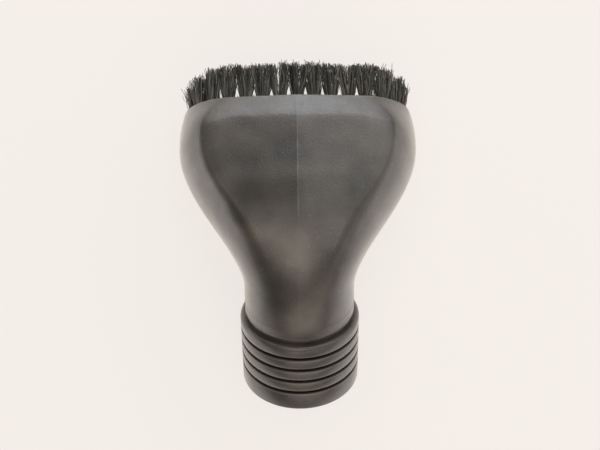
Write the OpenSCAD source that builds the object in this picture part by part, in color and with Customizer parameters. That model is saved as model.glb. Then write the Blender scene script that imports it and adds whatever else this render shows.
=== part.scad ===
// Vacuum upholstery tool. One hollow moulding runs from a ringed collar, which slips over
// the end of a wand, through a bent neck to a wide head. Bristle tufts stand in blind holes
// round the head's mouth, each held by a wire anchor.
//
// The tool lies as it comes to rest: on the lowest edge of its collar and on the lower row of
// bristle tips, with the bristles towards +Y. The origin is the middle of its bounding box,
// on the surface it lies on.

/* [Collar] */
// Outer diameter over the rings
collar_d = 38.2; // [36.5:0.1:44]
// Length from the open end to the shoulder
collar_l = 24.9; // [24.3:0.1:32]
// Diameter of the socket for the wand
bore_d = 32; // [31:0.1:33]
// Depth of the socket, from the open end to its stop
bore_l = 23; // [16:0.5:23.5]
// Bevel that leads the wand into the socket
bore_lead = 0.8; // [0.3:0.1:1.2]
// Number of grooves round the collar
groove_n = 4; // [1:1:4]
// Width of a groove
groove_w = 1.3; // [0.8:0.1:2]
// Depth of a groove
groove_depth = 1.3; // [0.5:0.1:1.6]
// Distance from one groove to the next
groove_pitch = 4.55; // [3.4:0.05:4.7]
// Width of the ring at the open end
end_ring_w = 6.2; // [3:0.1:6.4]
// Rounding of the rings' edges
ring_edge = 0.3; // [0.1:0.05:0.4]
// Rounding of the shoulder's outer edge
shoulder_round = 1.2; // [0.3:0.1:1.5]
// Width of the trough between the shoulder and the neck
trough_w = 1.8; // [1:0.1:3]
// Depth of the trough below the neck
trough_depth = 0.7; // [0.3:0.1:0.9]

/* [Neck] */
// Outer diameter of the round neck
neck_d = 34.8; // [34:0.1:35.4]
// Straight length of the neck past the shoulder
neck_l = 5.2; // [4:0.1:20]
// Angle between the neck and the head
bend_angle = 52; // [40:1:65]
// Radius of the bend, on the neck's axis
bend_r = 30; // [26:1:45]
// Wall of the neck and the head
wall = 2.2; // [1.6:0.1:2.8]

/* [Head] */
// Widest part of the head, across its shoulders
head_w = 76.4; // [68:0.2:90]
// Straight length of the head, from the bend to the rim
head_l = 35.3; // [30:0.1:50]
// Distance past the neck's end at which the head starts to widen
flare_from = 6.6; // [3:0.1:9]
// Length over which the head widens
flare_l = 44; // [36:0.5:46]
// Thickness of the head over its two flat panels
panel_t = 33.2; // [31:0.1:36]
// Width of the rounded side beside each panel
side_w = 9; // [6:0.1:11]
// Rise of the upper panel's middle above its edges
panel_crown = 1.3; // [0:0.1:1.8]
// Width of the rim at the bristles
rim_w = 73; // [64:0.2:86]
// Thickness of the rim at the bristles
rim_t = 30; // [26:0.1:32]
// Length of the rounded end of the rim
rim_end = 18; // [10:0.5:22]
// Length of the band between the rim and the panels
band_l = 7.8; // [6:0.1:12]
// How far the band's crease bends back towards the neck at the panel's edges
crease_bow = 2.9; // [0:0.1:4]
// Rounding of the crease, along the head
crease_round = 0.6; // [0.3:0.1:1.2]
// Rounding of the rim's edges
rim_edge = 0.5; // [0.2:0.1:0.8]

/* [Bristles] */
// Diameter of a tuft's hole
hole_d = 3.8; // [2.8:0.1:4]
// Depth of a tuft's hole
hole_l = 7; // [5:0.5:9]
// Distance of the holes' middles from the rim's outer edge
hole_inset = 2.9; // [2.6:0.1:3.6]
// Distance from one tuft to the next
tuft_pitch = 5.5; // [4.6:0.1:7]
// Length of the bristles outside the rim
tuft_l = 12; // [9:0.5:20]
// Share of its length that the shortest bristle of a tuft lacks
tuft_ragged = 0.12; // [0.02:0.01:0.25]
// Outward lean of the tufts at the rim's two ends, in degrees
tuft_lean = 5; // [0:1:14]
// Share of its length that a tuft at the rim's two ends lacks
tuft_short = 0.16; // [0:0.01:0.25]
// Thickness of an anchor's wire
anchor_t = 0.4; // [0.3:0.05:0.6]
// Height of an anchor
anchor_h = 1.6; // [1:0.1:2.2]
// How far an anchor bites into the plastic at each end
anchor_bite = 0.3; // [0.1:0.05:0.4]

/* [Hidden] */
overlap = 0.5;                // how far joined solids run into each other
tuck = 0.03;                  // how far the lofted wall stays inside the turned wall there
tuft_play = 0.04;             // gap between a tuft and the wall of its hole
tip_play = 0.1;               // gap between the tips of two tufts
hole_land = 1.4;              // plastic between a hole and the mouth of the head
hole_floor = 3;               // plastic past the foot of a hole before the wall thins
ramp_l = 3;                   // length over which the rim's thick wall thins down
side_steps = 8;               // steps round a side, from its middle to the panel's edge
panel_steps = 5;              // steps from a panel's edge to its middle
loft_steps = 27;              // steps along the head, up to the band
band_steps = 4;               // steps along the band
edge_angle = 60;              // where on the round neck the panel's edges begin
edge_power = 1.35;            // above 1 gives the panel's edge a tighter turn
side_power = 1.3;             // above 1 makes the side flatter than an ellipse
side_inset = 0.5;             // share of a wall that the side's width loses on the inner skin
panel_spread = 1.3;           // above 1 puts more of the panel's steps near its edge
bow_from = 0.7;               // where across the panel its crease begins to bend back
bow_power = 1.2;
bow_share = 0.4;              // share of the head's length over which the bow grows
panel_from = 2;               // where past the neck's end the panels begin to form
panel_grow = 33;              // length over which they form
flare_power = 0.8;            // below 1 puts more of the widening near the neck
arc_steps = 3;                // steps round a small rounded edge
shoulder_steps = 6;           // steps round the shoulder's edge
collar_sides = 96;
hole_sides = 24;
tuft_sides = 12;
tip_hollow = 0.2;             // how far a tuft's middle lies below its tips, as a share
// Where along a tuft, how wide and how deeply fluted its outline is, as shares
waist = [0.25, 0.5, 0.93];
shoulder = [0.55, 1, 0.88];
tip_flute = 0.86;
dark_grey = [0.23, 0.23, 0.24];
black = [0.09, 0.09, 0.095];
steel = [0.62, 0.62, 0.60];

collar_r = collar_d / 2;
bore_r = bore_d / 2;
neck_r = neck_d / 2;
duct_r = neck_r - wall;
neck_end = collar_l + neck_l;
bend_l = bend_r * bend_angle * PI / 180;
bend_end = neck_end + bend_l;
rim_at = bend_end + head_l;
crease_at = rim_at - band_l;
rim_wall = hole_inset + hole_d / 2 + hole_land;
rim_depth = hole_l + hole_floor;
quarter = side_steps + panel_steps;
ring_n = 4 * quarter;

function ease(t) = let (c = max(0, min(1, t))) c * c * (3 - 2 * c);
function mix(a, b, t) = a + (b - a) * t;
function last(list) = list[len(list) - 1];

// The spine: straight through the collar and neck, round the bend, straight through the head.
// The tool's own frame has the neck along +Y and the upper side towards +Z.
function turn(s) = bend_angle * max(0, min(1, (s - neck_end) / bend_l));
function spine(s) =
    let (a = turn(s), past = max(0, s - bend_end))
    [0,
     min(s, neck_end) + bend_r * sin(a) + past * cos(a),
     -bend_r * (1 - cos(a)) - past * sin(a)];
function place(s, p) = spine(s) + [p.x, p.y * sin(turn(s)), p.y * cos(turn(s))];

// Steps round a quarter of a section: 0 is the middle of its side, side_steps the panel's
// edge, and quarter the middle of the panel. reach is the share of the panel's half width.
function step_of(j) = let (r = j % quarter) floor(j / quarter) % 2 == 0 ? r : quarter - r;
function reach(i) = 1 - pow(max(0, i - side_steps) / panel_steps, panel_spread);

// Where the crease between panel and band lies: it bends back at the panel's edges and stays
// back round the side
function pull(i) = pow(max(0, (reach(i) - bow_from) / (1 - bow_from)), bow_power);
function crease_s(i) = crease_at - crease_bow * pull(i);

// How far the section has changed from the neck's circle to the panelled head, and from
// there to the rim's oval
function panelled(s) = ease((s - neck_end - panel_from) / panel_grow);
function banded(s, i) = max(0, min(1, (s - crease_s(i)) / (rim_at - crease_s(i))));

// Half the width and half the thickness of the outer skin, at a share b of the band
function flare(s) = pow(max(0, (s - neck_end - flare_from) / flare_l), flare_power);
function half_w(s, b) =
    b > 0 ? mix(head_w / 2, rim_w / 2, b * b) : mix(neck_r, head_w / 2, ease(flare(s)));
function half_t(s, b) =
    b > 0 ? mix(panel_t / 2, rim_t / 2, b) : mix(neck_r, panel_t / 2, panelled(s));

// How far the thin wall of the head has changed to the thick one round the tufts
function thick(s) = ease((s - rim_at + rim_depth + ramp_l) / ramp_l);

// One step of a round section and of a panelled one
function round_step(i, w, t) =
    let (a = i < side_steps ? edge_angle * i / side_steps : mix(90, edge_angle, reach(i)))
    [w * cos(a), t * sin(a)];
function panel_step(i, w, t, side, crown, round) =
    let (flat = w - side, edge = t - crown, a = 90 * min(1, i / side_steps), f = reach(i),
         turn = mix(edge_power, 1, round), fullness = mix(side_power, 1, round))
    i < side_steps
        ? [flat + side * pow(cos(a), turn), edge * pow(sin(a), fullness)]
        : [flat * f, edge + crown * (1 - f)];

// A point of the skin at s, moved in by inset. Only the upper side has a crown.
function mirrored(j, p) =
    let (q = floor(j / quarter)) [q == 0 || q == 3 ? p.x : -p.x, q < 2 ? p.y : -p.y];
function skin(s, j, inset) =
    let (i = step_of(j), b = banded(s, i),
         w = half_w(s, b) - inset, t = half_t(s, b) - inset,
         side = mix(side_w, rim_end, b * b) - inset * side_inset,
         crown = j < 2 * quarter ? panel_crown : 0)
    mirrored(j, mix(round_step(i, w, t), panel_step(i, w, t, side, crown, b * b), panelled(s)));
function section(s, inset) = [for (j = [0:ring_n - 1]) skin(s, j, inset)];

// Stations from the neck to just short of the rim's rounded edge, as [part, share of it]:
// part 0 is the head up to the crease, part 1 the band
stations = concat(
    [for (k = [1:loft_steps]) [0, k / loft_steps]],
    [for (k = [0:band_steps]) [1, k / band_steps]]);
function station_s(at, i) =
    at[0] == 0
        ? mix(neck_end, crease_at - crease_round, at[1])
            - crease_bow * pull(i) * ease((at[1] - 1) / bow_share + 1)
        : mix(crease_s(i) + crease_round, rim_at - rim_edge, at[1]);

function ring(at, inset) =
    [for (j = [0:ring_n - 1]) let (s = station_s(at, step_of(j))) place(s, skin(s, j, inset))];
function rim_ring(inset) = [for (p = section(rim_at, inset)) place(rim_at, p)];
// The inner skin keeps the mouth's outline through the rim's thick wall, then widens
mouth = section(rim_at, rim_wall);
function inner_ring(at) =
    [for (j = [0:ring_n - 1])
        let (s = station_s(at, step_of(j))) place(s, mix(skin(s, j, wall), mouth[j], thick(s)))];
function round_ring(s, r) =
    [for (j = [0:ring_n - 1]) place(s, mirrored(j, round_step(step_of(j), r, r)))];

outer_join = neck_r - tuck;
inner_join = (duct_r + tuck) / cos(180 / ring_n);

// A wall closed on itself: out along the outer skin, over the rim and back inside
module loft(rings) {
    n = len(rings);
    m = len(rings[0]);
    polyhedron(
        points = [for (r = rings) each r],
        faces = [for (i = [0:n - 1], j = [0:m - 1])
            let (a = i * m + j, b = i * m + (j + 1) % m,
                 c = ((i + 1) % n) * m + (j + 1) % m, d = ((i + 1) % n) * m + j)
            each [[a, b, c], [a, c, d]]]);
}

module head() {
    loft(concat(
        [round_ring(neck_end - overlap, outer_join), round_ring(neck_end, outer_join)],
        [for (at = stations) ring(at, 0)],
        [rim_ring(rim_edge), rim_ring(rim_wall - rim_edge)],
        [for (i = [len(stations) - 1:-1:0]) inner_ring(stations[i])],
        [round_ring(neck_end, inner_join), round_ring(neck_end - overlap, inner_join)]));
}

// Points of a rounded corner from angle a to angle b, in the collar's profile
function corner(centre, r, a, b, steps = arc_steps) =
    [for (i = [0:steps]) let (t = mix(a, b, i / steps)) centre + r * [cos(t), sin(t)]];

// The collar's outside from the open end to the neck, as [radius, distance] points
groove_floor = collar_r - groove_depth;
trough_floor = neck_r - trough_depth;
neck_foot = collar_l + trough_w;
open_edge = corner([collar_r - ring_edge, ring_edge], ring_edge, -90, 0);
collar_outside = concat(
    open_edge,
    [for (g = [0:groove_n - 1])
        let (low = end_ring_w + g * groove_pitch, high = low + groove_w)
        each concat(
            corner([collar_r - ring_edge, low - ring_edge], ring_edge, 0, 90),
            [[groove_floor, low], [groove_floor, high]],
            corner([collar_r - ring_edge, high + ring_edge], ring_edge, -90, 0))],
    corner([collar_r - shoulder_round, collar_l - shoulder_round], shoulder_round, 0, 90,
        shoulder_steps),
    [[trough_floor, collar_l], [trough_floor, neck_foot]],
    corner([neck_r - ring_edge, neck_foot + ring_edge], ring_edge, -90, 0));

module collar() {
    rotate([-90, 0, 0])
        rotate_extrude($fn = collar_sides)
            polygon(concat(
                [[bore_r, bore_lead], [bore_r + bore_lead, 0]],
                collar_outside,
                [[neck_r, neck_end], [duct_r, neck_end], [duct_r, bore_l], [bore_r, bore_l]]));
}

// The line of the holes' middles, from the middle of the rim's upper side all the way round.
// It keeps hole_inset from the rim's outline.
rim_line = section(rim_at, 0);
function rim_normal(j) =
    let (d = rim_line[(j + 1) % ring_n] - rim_line[(j + ring_n - 1) % ring_n])
    [d.y, -d.x] / norm(d);
hole_line = [for (j = [0:ring_n])
    let (k = (j + quarter) % ring_n) rim_line[k] - hole_inset * rim_normal(k)];
hole_normals = [for (j = [0:ring_n]) rim_normal((j + quarter) % ring_n)];
hole_steps = [for (j = [0:ring_n - 1]) norm(hole_line[j + 1] - hole_line[j])];
hole_run = [for (j = 0, s = 0; j <= ring_n; s = s + (j < ring_n ? hole_steps[j] : 0), j = j + 1) s];
tuft_n = round(last(hole_run) / tuft_pitch);
tuft_step = last(hole_run) / tuft_n;
function along(values, s) = lookup(s, [for (j = [0:ring_n]) [hole_run[j], values[j]]]);
function hole_at(i) =
    [for (k = [0:1]) along([for (p = hole_line) p[k]], i * tuft_step)];
function normal_at(i) =
    [for (k = [0:1]) along([for (p = hole_normals) p[k]], i * tuft_step)];

// A tuft in its hole's frame: outward across the rim, round the rim, and out along the
// bristles, with 0 at the mouth of the hole
shank_r = hole_d / 2 - tuft_play;
tip_r = (tuft_step - tip_play) / 2;
tip_random = rands(0, 1, tuft_n * tuft_sides, 11);
function ends(i) = pow(abs(normal_at(i).x), 2);
function lean(i) = tan(tuft_lean) * ends(i);
function length(i) = tuft_l * (1 - tuft_short * ends(i));
function tuft_ring(i, h, r, flute) =
    [for (j = [0:tuft_sides - 1])
        let (a = 360 * j / tuft_sides, k = r * (j % 2 == 0 ? 1 : flute))
        [k * cos(a) + max(0, h) * lean(i), k * sin(a), h]];
function shaped_ring(i, form) =
    tuft_ring(i, form[0] * length(i), mix(shank_r, tip_r, form[1]), form[2]);
function tip_ring(i) =
    [for (j = [0:tuft_sides - 1])
        let (a = 360 * j / tuft_sides,
             short = j == 0 ? 0 : tuft_ragged * tip_random[i * tuft_sides + j],
             h = length(i) * (1 - short), k = tip_r * (j % 2 == 0 ? 1 : tip_flute))
        [k * cos(a) + h * lean(i), k * sin(a), h]];
function tuft_rings(i) = [
    tuft_ring(i, -hole_l, shank_r, 1),
    tuft_ring(i, 0, shank_r, 1),
    shaped_ring(i, waist),
    shaped_ring(i, shoulder),
    tip_ring(i)];

// A place in a tuft's frame, moved into the tool's own frame
function from_hole(i, p) =
    let (c = hole_at(i), n = normal_at(i) / norm(normal_at(i)),
         q = c + p.x * n + p.y * [-n.y, n.x])
    place(rim_at, q) + p.z * [0, cos(bend_angle), -sin(bend_angle)];

// A closed solid through rings, with a flat foot and a hollowed top
module bundle(rings, foot, top) {
    n = len(rings);
    m = len(rings[0]);
    polyhedron(
        points = concat([for (r = rings) each r], [foot, top]),
        faces = concat(
            [for (i = [0:n - 2], j = [0:m - 1])
                let (a = i * m + j, b = i * m + (j + 1) % m)
                each [[a, b + m, b], [a, a + m, b + m]]],
            [for (j = [0:m - 1]) [n * m, j, (j + 1) % m]],
            [for (j = [0:m - 1])
                [n * m + 1, (n - 1) * m + (j + 1) % m, (n - 1) * m + j]]));
}

module in_hole(i) {
    c = hole_at(i);
    n = normal_at(i);
    translate(place(rim_at, c))
        multmatrix([
            [n.x / norm(n), -n.y / norm(n), 0, 0],
            [sin(bend_angle) * n.y / norm(n), sin(bend_angle) * n.x / norm(n), cos(bend_angle), 0],
            [cos(bend_angle) * n.y / norm(n), cos(bend_angle) * n.x / norm(n), -sin(bend_angle), 0]])
            children();
}

// The place of an anchor across the foot of its hole
module anchor() {
    translate([-anchor_t / 2, -hole_d / 2 - anchor_bite, -hole_l + anchor_h / 2])
        cube([anchor_t, hole_d + 2 * anchor_bite, anchor_h]);
}

// How the tool lies: the tilt at which the collar's lower edge and the first tip both touch
// the surface, and the shift that centres it there
tips = [for (i = [0:tuft_n - 1]) each [for (p = tip_ring(i)) from_hole(i, p)]];
heel = [for (p = open_edge) [0, p.y, -p.x]];
crest = [for (p = open_edge) [0, p.y, p.x]];
rest_tilt = -min([for (p = tips)
    max([for (h = heel) atan2(p.z - h.z, p.y - h.y)])]);
function at_tilt(p) =
    [p.x, p.y * cos(rest_tilt) - p.z * sin(rest_tilt),
     p.y * sin(rest_tilt) + p.z * cos(rest_tilt)];
rest_floor = min([for (h = heel) at_tilt(h).z]);
rest_back = min([for (c = crest) at_tilt(c).y]);
rest_front = max([for (p = tips) at_tilt(p).y]);

module at_rest() {
    translate([0, -(rest_back + rest_front) / 2, -rest_floor])
        rotate([rest_tilt, 0, 0])
            children();
}

module body() {
    color(dark_grey) at_rest() difference() {
        union() {
            collar();
            head();
        }
        for (i = [0:tuft_n - 1]) in_hole(i) {
            translate([0, 0, -hole_l]) cylinder(d = hole_d, h = hole_l + overlap, $fn = hole_sides);
            anchor();
        }
    }
}

module tuft(i) {
    color(black) at_rest() in_hole(i) difference() {
        bundle(tuft_rings(i), [0, 0, -hole_l],
            length(i) * [lean(i), 0, 1 - tip_hollow]);
        anchor();
    }
}

module anchors() {
    color(steel) at_rest() for (i = [0:tuft_n - 1]) in_hole(i) anchor();
}

function tuft_name(i) = str("tuft_", i < 9 ? "0" : "", i + 1);

body();
for (i = [0:tuft_n - 1]) tuft(i);
anchors();
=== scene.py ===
import math
import random

import bpy
import numpy as np
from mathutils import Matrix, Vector


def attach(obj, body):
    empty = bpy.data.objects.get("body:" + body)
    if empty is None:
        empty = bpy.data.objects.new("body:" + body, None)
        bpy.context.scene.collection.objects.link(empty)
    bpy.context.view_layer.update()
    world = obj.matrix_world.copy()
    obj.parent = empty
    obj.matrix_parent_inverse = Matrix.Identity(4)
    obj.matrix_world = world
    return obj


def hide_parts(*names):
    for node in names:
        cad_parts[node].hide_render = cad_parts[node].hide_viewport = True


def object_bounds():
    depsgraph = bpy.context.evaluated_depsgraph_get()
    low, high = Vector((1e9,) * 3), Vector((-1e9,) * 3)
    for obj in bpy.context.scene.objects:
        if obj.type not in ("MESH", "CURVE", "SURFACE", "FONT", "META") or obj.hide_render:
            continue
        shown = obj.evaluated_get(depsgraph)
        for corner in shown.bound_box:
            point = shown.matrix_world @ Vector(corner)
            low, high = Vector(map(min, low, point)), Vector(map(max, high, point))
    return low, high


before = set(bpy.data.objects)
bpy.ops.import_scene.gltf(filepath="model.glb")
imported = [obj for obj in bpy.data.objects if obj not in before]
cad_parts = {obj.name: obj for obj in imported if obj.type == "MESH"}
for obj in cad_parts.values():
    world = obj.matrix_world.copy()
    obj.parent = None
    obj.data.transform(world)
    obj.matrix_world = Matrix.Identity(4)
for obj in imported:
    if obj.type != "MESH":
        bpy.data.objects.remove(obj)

cad_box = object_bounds()
MM = 0.001
COLLAR_AXIS = (0, -0.8775, -0.4795)   # from the neck to the collar's open end

# ---------------------------------------------------------------- materials


def colour(code):
    """An sRGB hex colour as the linear values that Blender takes."""
    parts = [int(code[i:i + 2], 16) / 255 for i in (1, 3, 5)]
    return (*[p / 12.92 if p <= 0.04045 else ((p + 0.055) / 1.055) ** 2.4 for p in parts], 1)


def add(tree, kind, feeds=None, **settings):
    """One node with its settings, and what feeds each of its sockets."""
    node = tree.nodes.new(kind)
    for name, value in settings.items():
        setattr(node, name, value)
    for socket, value in (feeds or {}).items():
        if isinstance(value, bpy.types.NodeSocket):
            tree.links.new(value, node.inputs[socket])
        else:
            node.inputs[socket].default_value = value
    return node


def new_material(name):
    """An empty material and its node tree, with an output to finish at."""
    made = bpy.data.materials.new(name)
    made.use_nodes = True
    made.node_tree.nodes.clear()
    return made, made.node_tree


def per_metre(size_mm):
    """The scale at which a noise has features of this size."""
    return 1 / (size_mm * MM)


def contrast(tree, value):
    """A noise's middle range, spread over 0 to 1."""
    return add(tree, "ShaderNodeMapRange",
               {"Value": value, "From Min": 0.33, "From Max": 0.67}).outputs["Result"]


def smooth_rise(tree, value, low, high, start=0.0, end=1.0):
    """A smooth change from start to end while the value goes from low to high."""
    return add(tree, "ShaderNodeMapRange",
               {"Value": value, "From Min": low, "From Max": high, "To Min": start,
                "To Max": end}, interpolation_type="SMOOTHSTEP").outputs["Result"]


def combine(tree, operation, first, second):
    """Two values put together by one arithmetic operation."""
    return add(tree, "ShaderNodeMath", {0: first, 1: second}, operation=operation).outputs[0]


def shade_and_gloss_masks(tree, place, across, along):
    """How much the skin is darkened and dulled: a little over the whole collar, and a band of painted
    shade across the panel's foot, darker on the left. Also how much of the edge-on gloss is left: least
    on the collar."""
    reach = add(tree, "ShaderNodeVectorMath", {0: place, 1: COLLAR_AXIS},
                operation="DOT_PRODUCT").outputs["Value"]
    collar = smooth_rise(tree, reach, -6 * MM, 9 * MM)
    rim = smooth_rise(tree, along, 18 * MM, 32 * MM)
    # painted shade: a band across the panel's foot, darker on its left side
    off = combine(tree, "ABSOLUTE", combine(tree, "SUBTRACT", along, 15.5 * MM), 0.0)
    foot_shade = combine(tree, "MULTIPLY", smooth_rise(tree, off, 1 * MM, 6.5 * MM, 1.0, 0.0),
                     smooth_rise(tree, across, -1.5 * MM, 3 * MM, 0.32, 0.13))
    aside = combine(tree, "ABSOLUTE", across, 0.0)
    foot_shade = combine(tree, "MULTIPLY", foot_shade, smooth_rise(tree, aside, 15 * MM, 24 * MM, 1.0, 0.0))
    darkened = combine(tree, "MAXIMUM", combine(tree, "MULTIPLY", collar, 0.13), foot_shade)
    left = combine(tree, "SUBTRACT", 1.0, combine(tree, "MULTIPLY", collar, 0.75))
    left = combine(tree, "SUBTRACT", left, combine(tree, "MULTIPLY", rim, 0.6))
    return darkened, left


def parting_step(tree, across):
    """Height of the parting line: to its right the skin lies a little lower."""
    return add(tree, "ShaderNodeMapRange",
               {"Value": across, "From Min": -0.35 * MM, "From Max": 0.25 * MM,
                "To Min": 1.0, "To Max": 0.0}, interpolation_type="SMOOTHSTEP").outputs["Result"]


def painted_seam_highlight(tree, place, across, along):
    """Painted highlight along the parting line, where its step catches the light from the right: a thin
    broken pale line, which shows most on the high part of the panel."""
    uneven = add(tree, "ShaderNodeTexNoise",
                 {"Vector": place, "Scale": per_metre(6), "Detail": 2.0}).outputs["Fac"]
    off = add(tree, "ShaderNodeMath", {0: across}, operation="ABSOLUTE")
    line = add(tree, "ShaderNodeMapRange",
               {"Value": off.outputs[0], "From Min": 0.05 * MM, "From Max": 0.22 * MM,
                "To Min": 0.8, "To Max": 0.0}, interpolation_type="SMOOTHSTEP")
    broken = add(tree, "ShaderNodeMath", {0: line.outputs["Result"], 1: contrast(tree, uneven)},
                 operation="MULTIPLY")
    out = add(tree, "ShaderNodeMath", {0: along, 1: 18 * MM}, operation="SUBTRACT")
    out = add(tree, "ShaderNodeMath", {0: out.outputs[0]}, operation="ABSOLUTE")
    there = add(tree, "ShaderNodeMapRange",
                {"Value": out.outputs[0], "From Min": 9 * MM, "From Max": 14 * MM,
                 "To Min": 1.3, "To Max": 0.15}, interpolation_type="SMOOTHSTEP")
    return add(tree, "ShaderNodeMath",
               {0: broken.outputs[0], 1: there.outputs["Result"]}, operation="MULTIPLY").outputs[0]


def roof(tree, across):
    """Height of the panel's slight fold at the parting line, 1 there and fading sideways."""
    off = add(tree, "ShaderNodeMath", {0: across}, operation="ABSOLUTE").outputs[0]
    fade = add(tree, "ShaderNodeMath", {0: off, 1: -1 / (6 * MM)}, operation="MULTIPLY")
    return add(tree, "ShaderNodeMath", {0: fade.outputs[0]}, operation="EXPONENT").outputs[0]


def moulded_polypropylene():
    """Charcoal polypropylene from a spark-eroded mould: a satin skin, a little brown,
    whose sheen is broken up by a fine grain, by soft flow patches and by the parting line."""
    made, tree = new_material("charcoal_polypropylene_moulded")
    place = add(tree, "ShaderNodeTexCoord").outputs["Object"]
    # real grain is about 0.15 mm; drawn at 0.5 mm so that it shows
    grain = add(tree, "ShaderNodeTexNoise",
                {"Vector": place, "Scale": per_metre(0.5), "Detail": 3.0, "Roughness": 0.6})
    # flow patches where the melt slowed, a few millimetres across
    flow = add(tree, "ShaderNodeTexNoise",
               {"Vector": place, "Scale": per_metre(11), "Detail": 1.0, "Roughness": 0.4})
    tone = add(tree, "ShaderNodeMix",
               {"Factor": contrast(tree, flow.outputs["Fac"]),
                "A": colour("#27231e"), "B": colour("#463f37")}, data_type="RGBA")
    # settled dust: a few pale specks
    speck = add(tree, "ShaderNodeTexNoise",
                {"Vector": place, "Scale": per_metre(0.7), "Detail": 0.0})
    dusty = add(tree, "ShaderNodeMapRange",
                {"Value": speck.outputs["Fac"], "From Min": 0.8, "From Max": 0.88,
                 "To Min": 0.0, "To Max": 0.35})
    parted = add(tree, "ShaderNodeSeparateXYZ", {"Vector": place})
    across, along = parted.outputs["X"], parted.outputs["Y"]
    # painted highlight: a thin pale line along the parting line
    tone = add(tree, "ShaderNodeMix",
               {"Factor": painted_seam_highlight(tree, place, across, along), "A": tone.outputs["Result"],
                "B": colour("#77736b")}, data_type="RGBA")
    # painted highlight: the sharp edges of the rings and the rim are painted a little paler, as they
    # catch the light
    inside = add(tree, "ShaderNodeAmbientOcclusion", {"Distance": 1.0 * MM},
                 samples=8, inside=True, only_local=True).outputs["AO"]
    painted_edge_highlight = add(tree, "ShaderNodeMapRange",
               {"Value": inside, "From Min": 0.55, "From Max": 0.95, "To Min": 0.6,
                "To Max": 0.0}).outputs["Result"]
    tone = add(tree, "ShaderNodeMix",
               {"Factor": painted_edge_highlight, "A": tone.outputs["Result"], "B": colour("#9a958c")},
               data_type="RGBA")
    tone = add(tree, "ShaderNodeMix",
               {"Factor": dusty.outputs["Result"], "A": tone.outputs["Result"],
                "B": colour("#a8a49c")}, data_type="RGBA")
    rough = add(tree, "ShaderNodeMapRange",
                {"Value": grain.outputs["Fac"], "From Min": 0.3, "From Max": 0.7,
                 "To Min": 0.27, "To Max": 0.35})
    # blotches of duller and glossier skin, where the melt met a cooler mould
    blotch = add(tree, "ShaderNodeTexNoise",
                 {"Vector": place, "Scale": per_metre(5), "Detail": 3.0, "Roughness": 0.55})
    gloss = add(tree, "ShaderNodeMapRange",
                {"Value": blotch.outputs["Fac"], "From Min": 0.3, "From Max": 0.7,
                 "To Min": 0.6, "To Max": 1.0})
    fine = add(tree, "ShaderNodeBump",
               {"Height": grain.outputs["Fac"], "Strength": 1.0, "Distance": 0.06 * MM})
    patchy = add(tree, "ShaderNodeBump",
                 {"Height": flow.outputs["Fac"], "Strength": 1.0, "Distance": 0.35 * MM,
                  "Normal": fine.outputs["Normal"]})
    folded = add(tree, "ShaderNodeBump",
                 {"Height": roof(tree, across), "Strength": 1.0, "Distance": 0.3 * MM,
                  "Normal": patchy.outputs["Normal"]})
    seam = add(tree, "ShaderNodeBump",
               {"Height": parting_step(tree, across), "Strength": 1.0, "Distance": 0.03 * MM,
                "Normal": folded.outputs["Normal"]})
    skin = add(tree, "ShaderNodeBsdfPrincipled",
               {"Base Color": tone.outputs["Result"], "Roughness": rough.outputs["Result"],
                "IOR": 1.49, "Specular IOR Level": 1.0, "Coat Weight": gloss.outputs["Result"],
                "Coat Roughness": 0.36, "Sheen Weight": 0.7, "Sheen Roughness": 0.35,
                "Sheen Tint": colour("#fff4e6"), "Coat IOR": 1.5, "Normal": seam.outputs["Normal"],
                "Coat Normal": seam.outputs["Normal"]})
    # seen along the surface, the grain's tops close up and mirror more than clear plastic
    facing = add(tree, "ShaderNodeLayerWeight",
                 {"Blend": 0.5, "Normal": patchy.outputs["Normal"]}).outputs["Facing"]
    steep = add(tree, "ShaderNodeMath", {0: facing, 1: 2.6}, operation="POWER")
    darkened, left = shade_and_gloss_masks(tree, place, across, along)
    share = combine(tree, "MULTIPLY", combine(tree, "MULTIPLY", steep.outputs[0], 0.3), left)
    tops = add(tree, "ShaderNodeBsdfAnisotropic",
               {"Color": colour("#fffaf2"), "Roughness": 0.42,
                "Normal": patchy.outputs["Normal"]})
    both = add(tree, "ShaderNodeMixShader", {0: share, 1: skin.outputs["BSDF"],
                                             2: tops.outputs["BSDF"]})
    # painted shade: the grooves and the step at the collar are darkened towards near black, as little
    # light gets into them
    open_sky = add(tree, "ShaderNodeAmbientOcclusion", {"Distance": 1.6 * MM},
                   samples=8, only_local=True).outputs["AO"]
    shut = add(tree, "ShaderNodeMapRange",
               {"Value": open_sky, "From Min": 0.3, "From Max": 0.75,
                "To Min": 0.85, "To Max": 0.0}, interpolation_type="SMOOTHSTEP")
    recess_shade = add(tree, "ShaderNodeBsdfDiffuse", {"Color": colour("#12100e"), "Roughness": 1.0})
    shaded_skin = add(tree, "ShaderNodeMixShader", {0: combine(tree, "MAXIMUM", shut.outputs["Result"], darkened),
                                               1: both.outputs["Shader"], 2: recess_shade.outputs["BSDF"]})
    add(tree, "ShaderNodeOutputMaterial", {"Surface": shaded_skin.outputs["Shader"]})
    return made


def nylon_bristle():
    """Black crimped nylon monofilament, drawn and cut: each strand is glossy, so it
    shows a thin streak of light, and some strands are greyer than others."""
    made, tree = new_material("black_nylon_bristle_drawn")
    strand = add(tree, "ShaderNodeAttribute", attribute_name="strand").outputs["Fac"]
    tone = add(tree, "ShaderNodeValToRGB", {"Fac": strand})
    tone.color_ramp.elements[0].color = colour("#30302e")
    tone.color_ramp.elements[1].color = colour("#86867f")
    middle = tone.color_ramp.elements.new(0.6)
    middle.color = colour("#484845")
    rough = add(tree, "ShaderNodeMapRange", {"Value": strand, "To Min": 0.42, "To Max": 0.3})
    skin = add(tree, "ShaderNodeBsdfPrincipled",
               {"Base Color": tone.outputs["Color"], "Roughness": rough.outputs["Result"],
                "IOR": 1.53})
    add(tree, "ShaderNodeOutputMaterial", {"Surface": skin.outputs["BSDF"]})
    return made


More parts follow.
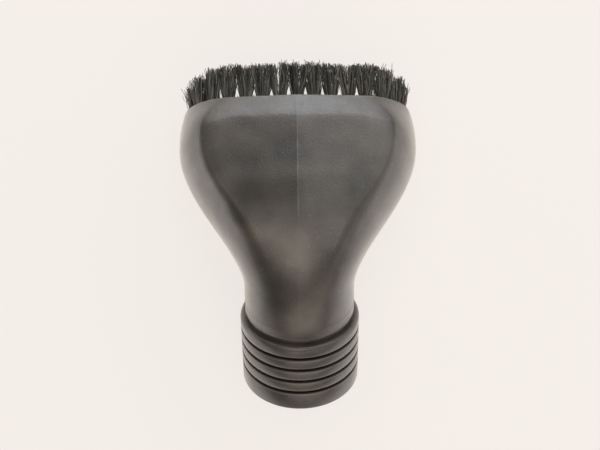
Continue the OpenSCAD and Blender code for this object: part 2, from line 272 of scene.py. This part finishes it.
def drawn_steel():
    """Bright drawn steel wire: a grey metal with fine streaks along its length."""
    made, tree = new_material("steel_wire_drawn")
    place = add(tree, "ShaderNodeTexCoord").outputs["Object"]
    # die marks are about 0.02 mm; drawn at 0.15 mm so that they show
    streak = add(tree, "ShaderNodeTexNoise",
                 {"Vector": place, "Scale": per_metre(0.15), "Detail": 2.0})
    rough = add(tree, "ShaderNodeMapRange",
                {"Value": streak.outputs["Fac"], "To Min": 0.22, "To Max": 0.38})
    skin = add(tree, "ShaderNodeBsdfPrincipled",
               {"Base Color": colour("#b9bbbd"), "Metallic": 1.0,
                "Roughness": rough.outputs["Result"]})
    add(tree, "ShaderNodeOutputMaterial", {"Surface": skin.outputs["BSDF"]})
    return made


def pale_floor():
    """Matt white laminate, plain: the eye sees it nearly white, with a soft shadow under
    the tool, and the plastic's gloss mirrors it white."""
    made, tree = new_material("white_laminate_matt")
    skin = add(tree, "ShaderNodeBsdfPrincipled",
               {"Base Color": colour("#f6f2ed"), "Roughness": 0.75, "Specular IOR Level": 0.2})
    white = add(tree, "ShaderNodeEmission", {"Color": colour("#fffaf5"), "Strength": 1.0})
    path = add(tree, "ShaderNodeLightPath")
    eye = add(tree, "ShaderNodeMath", {0: path.outputs["Is Camera Ray"], 1: 0.75},
              operation="MULTIPLY")
    gloss = add(tree, "ShaderNodeMath", {0: path.outputs["Is Glossy Ray"], 1: 0.95},
                operation="MULTIPLY")
    share = add(tree, "ShaderNodeMath", {0: eye.outputs[0], 1: gloss.outputs[0]},
                operation="MAXIMUM")
    both = add(tree, "ShaderNodeMixShader", {0: share.outputs[0], 1: skin.outputs["BSDF"],
                                             2: white.outputs["Emission"]})
    add(tree, "ShaderNodeOutputMaterial", {"Surface": both.outputs["Shader"]})
    return made


# ---------------------------------------------------------------- the moulded body


def only(piece):
    """Selects this piece alone and makes it the active one."""
    bpy.ops.object.select_all(action="DESELECT")
    piece.select_set(True)
    bpy.context.view_layer.objects.active = piece


def moulded_body():
    """The body's skin: the solid's own faces, joined and shaded as one moulding."""
    piece = bpy.data.objects.new("moulded_body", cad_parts["body"].data.copy())
    bpy.context.scene.collection.objects.link(piece)
    piece.data.materials.clear()
    only(piece)
    bpy.ops.mesh.customdata_custom_splitnormals_clear()
    bpy.ops.object.mode_set(mode="EDIT")
    bpy.ops.mesh.select_all(action="SELECT")
    bpy.ops.mesh.remove_doubles(threshold=0.004 * MM)
    bpy.ops.object.mode_set(mode="OBJECT")
    bpy.ops.object.shade_smooth_by_angle(angle=math.radians(24))
    piece.data.materials.append(moulded_polypropylene())
    return piece


# ---------------------------------------------------------------- the bristles

STRANDS = 170          # bristles in one tuft
STRAND_STEPS = 8       # lengths from the foot to the tip
STRAND_W = 0.27 * MM   # across a bristle at its foot
TIP_SHARE = 0.7        # a tip's width, as a share of the foot's
SUNK = 7 * MM          # length inside the hole
HOLE_R = 1.9 * MM      # radius of a tuft's hole
FAN = np.array([3.9, 2.8]) * MM   # half width of a tuft at its tips, along the rim and across
FAN_POWER = 0.72       # below 1 opens the fan early, so that neighbours meet low down
HEAD_DOWN = math.radians(23.3)
ALONG = np.array([0, math.cos(HEAD_DOWN), -math.sin(HEAD_DOWN)])
END_CUT = 0.15         # how much shorter the tufts at the two ends are trimmed
AIR = 0.05 * MM        # kept between the bristles and the sides of the solid model's box


def straight_bristle():
    """One bristle as it is cut: a three-sided strand of length 1, drawn thinner to its tip."""
    bpy.ops.object.select_all(action="DESELECT")
    bpy.ops.mesh.primitive_circle_add(vertices=3, radius=STRAND_W / 2, location=(0, 0, 0))
    piece = bpy.context.object
    bpy.ops.object.mode_set(mode="EDIT")
    share = TIP_SHARE ** (1 / STRAND_STEPS)
    for step in range(STRAND_STEPS):
        bpy.ops.mesh.extrude_region_move(
            TRANSFORM_OT_translate={"value": (0, 0, 1 / STRAND_STEPS)})
        bpy.ops.transform.resize(value=(share, share, 1))
    bpy.ops.mesh.edge_face_add()
    bpy.ops.mesh.select_all(action="SELECT")
    bpy.ops.mesh.normals_make_consistent(inside=False)
    bpy.ops.object.mode_set(mode="OBJECT")
    return piece


def tuft_places():
    """Where each tuft's foot is, and how far its tip leans, read off the solid tufts."""
    found = []
    for name in sorted(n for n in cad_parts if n.startswith("tuft_")):
        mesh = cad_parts[name].data
        at = np.zeros(len(mesh.vertices) * 3)
        mesh.vertices.foreach_get("co", at)
        at = at.reshape(-1, 3)
        height = at @ ALONG
        foot = at[height < height.min() + 0.3 * MM].mean(0)
        tip = at[height > height.max() - 1.5 * MM].mean(0)
        rise = tip - foot
        found.append((name, foot, height.max() - height.min(), rise - ALONG * (rise @ ALONG)))
    return found


def inside_box(points):
    """The points, held inside the solid model's box."""
    low, high = (np.array(c) for c in cad_box)
    return np.clip(points, low + AIR, high - AIR)


def waves(rng, length, above, wild):
    """The crimp of one bristle: two soft waves, each in a plane of its own."""
    swing = np.zeros((len(above), 2))
    for _ in range(2):
        size = rng.uniform(0.12, 0.4) * MM * wild
        turns = length / (rng.uniform(5, 9) * MM)
        phase, side = rng.uniform(0, 2 * math.pi), rng.uniform(0, math.pi)
        move = size * above * (np.sin(2 * math.pi * above * turns + phase) - math.sin(phase))
        swing += np.outer(move, [math.cos(side), math.sin(side)])
    return swing


def tuft_piece(name, foot, tall, lean, tangent, outward, pattern, faces, rng):
    """One tuft: copies of the straight bristle, each with its own bend and length."""
    locks = [(rng.uniform(0, 2 * math.pi), rng.uniform(0.2, 1.0)) for _ in range(7)]
    lock_at = np.array([[math.cos(a) * r, math.sin(a) * r] for a, r in locks])
    lock_long = [rng.uniform(0, 0.05) for _ in locks]
    points, marks = [], []
    for k in range(STRANDS):
        # an even spread of feet over the hole
        r = math.sqrt((k + 0.5) / STRANDS)
        a = k * 2.399963 + rng.uniform(-0.2, 0.2)
        start = np.array([math.cos(a) * r, math.sin(a) * r])
        lock = np.argmin(((lock_at - start) ** 2).sum(1))
        end = start + (lock_at[lock] - start) * rng.uniform(0.1, 0.8)
        wild = 2.4 if rng.random() < 0.08 else 1.0
        length = (tall - SUNK) * (1 - lock_long[lock] - abs(rng.gauss(0, 0.035)) - 0.01 * r)
        t = pattern[:, 2]                                # 0 at the foot, 1 at the tip
        above = np.clip((t * (SUNK + length) - SUNK) / length, 0, 1)
        hole = start * (HOLE_R - STRAND_W * 0.6)
        flat = hole + (end * FAN - hole) * (above ** FAN_POWER)[:, None]
        bend = np.array([rng.gauss(0, 0.6), rng.gauss(0, 0.5)]) * MM * wild
        flat = flat + bend * (above ** 1.5)[:, None] + waves(rng, length, above, wild)
        turn = rng.uniform(0, 2 * math.pi)
        c, s = math.cos(turn), math.sin(turn)
        x = pattern[:, 0] * c - pattern[:, 1] * s + flat[:, 0]
        y = pattern[:, 0] * s + pattern[:, 1] * c + flat[:, 1]
        up = t * (SUNK + length)
        here = (foot + np.outer(x, tangent) + np.outer(y, outward) + np.outer(up, ALONG)
                + np.outer(above, lean))
        points.append(inside_box(here))
        marks.append(np.full(len(here), rng.random()))
    count = len(pattern)
    all_faces = [[v + k * count for v in face] for k in range(STRANDS) for face in faces]
    mesh = bpy.data.meshes.new(name)
    mesh.from_pydata(np.concatenate(points).tolist(), [], all_faces)
    strand = mesh.attributes.new("strand", "FLOAT", "POINT")
    strand.data.foreach_set("value", np.concatenate(marks))
    mesh.update()
    piece = bpy.data.objects.new(name, mesh)
    bpy.context.scene.collection.objects.link(piece)
    only(piece)
    bpy.ops.object.shade_smooth_by_angle(angle=math.radians(75))
    return piece


def bristles(material):
    """All the tufts round the rim."""
    one = straight_bristle()
    pattern = np.array([v.co for v in one.data.vertices])
    faces = [list(p.vertices) for p in one.data.polygons]
    bpy.data.objects.remove(one)
    places = tuft_places()
    middle = np.mean([p[1] for p in places], axis=0)
    wide = max(abs(p[1][0]) for p in places)
    made = []
    rng = random.Random(29)
    for i, (name, foot, tall, lean) in enumerate(places):
        tangent = places[(i + 1) % len(places)][1] - places[i - 1][1]
        tangent = tangent - ALONG * (tangent @ ALONG)
        tangent /= np.linalg.norm(tangent)
        outward = np.cross(tangent, ALONG)
        if outward @ (foot - middle) < 0:
            outward = -outward
        end = np.clip(abs(foot[0]) / wide * 8 - 7, 0, 1)
        tall = SUNK + (tall - SUNK) * (1 - END_CUT * end)
        piece = tuft_piece("bristles_" + name[-2:], foot, tall, lean, tangent, outward,
                           pattern, faces, rng)
        piece.data.materials.append(material)
        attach(piece, "root")
        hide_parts(name)
        made.append(piece)
    return made


# ---------------------------------------------------------------- the stage


def lamp(name, azimuth, elevation, away, size, strength, tint="#ffffff"):
    """A soft panel of light that faces the tool; strength is its own brightness."""
    light = bpy.data.lights.new(name, "AREA")
    light.shape = "RECTANGLE"
    light.size, light.size_y = size
    light.energy = strength * math.pi * size[0] * size[1]
    light.color = colour(tint)[:3]
    holder = bpy.data.objects.new(name, light)
    bpy.context.scene.collection.objects.link(holder)
    turn, rise = math.radians(azimuth), math.radians(elevation)
    towards = Vector((math.cos(turn) * math.cos(rise), math.sin(turn) * math.cos(rise),
                      math.sin(rise)))
    holder.location = towards * away + Vector((0, 0, 0.03))
    holder.rotation_euler = towards.to_track_quat("Z", "Y").to_euler()
    return holder


def stage():
    """The floor, the lamps, the room's own light and the camera."""
    bpy.ops.object.select_all(action="DESELECT")
    bpy.ops.mesh.primitive_plane_add(size=3, location=(0, 0, -0.1 * MM))
    floor = bpy.context.object
    floor.name = "floor"
    floor.data.materials.append(pale_floor())
    lamp("top_light", 90, 87, 1.2, (1.1, 1.0), 1.45, "#fff4e6")
    lamp("back_light", 88, 16, 0.9, (0.85, 0.3), 1.65)
    lamp("back_window", 88, 17, 0.9, (0.32, 0.26), 2.7, "#f4f8ff")
    lamp("back_right_light", 60, 39, 1.1, (0.85, 0.36), 1.3)
    lamp("back_left_light", 120, 39, 1.1, (0.85, 0.36), 0.27)
    lamp("right_light", 0, 34, 1.1, (1.3, 0.5), 0.6, "#fff6ea")
    lamp("front_light", -80, 32, 1.1, (1.3, 0.5), 1.1, "#fff2e2")
    lamp("low_right_light", 8, 8, 1.1, (1.4, 0.2), 1.95, "#fffaf4")
    lamp("low_left_light", 170, 5, 1.1, (1.4, 0.23), 2.05, "#fffaf4")
    world = bpy.data.worlds.new("room")
    world.use_nodes = True
    # the eye sees a white room past the floor, which gives little light
    room = world.node_tree.nodes["Background"]
    room.inputs["Color"].default_value = colour("#fbf8f4")
    seen = add(world.node_tree, "ShaderNodeLightPath").outputs["Is Camera Ray"]
    level = add(world.node_tree, "ShaderNodeMapRange", {"Value": seen, "To Min": 0.15})
    world.node_tree.links.new(level.outputs["Result"], room.inputs["Strength"])
    bpy.context.scene.world = world
    bpy.context.scene.view_settings.view_transform = "Standard"
    view = bpy.data.cameras.new("view")
    view.sensor_width = 36
    view.lens = 58.8
    view.clip_start = 0.01
    camera = bpy.data.objects.new("view", view)
    bpy.context.scene.collection.objects.link(camera)
    camera.location = (1.033 * MM, 27.278 * MM, 341 * MM)
    target = Vector((0.710 * MM, 0.780 * MM, 0))
    # the camera looks almost straight down, so it is turned about X from overhead
    look = target - camera.location
    tip_back = math.atan2(look.y, -look.z)
    sway = math.atan2(look.x, -look.z)
    camera.rotation_euler = (tip_back, -sway, math.radians(-0.7))
    bpy.context.scene.camera = camera


body = moulded_body()
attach(body, "root")
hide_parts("body")
tufts = bristles(nylon_bristle())
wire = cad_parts["anchors"]
wire.data.materials.clear()
wire.data.materials.append(drawn_steel())
stage()
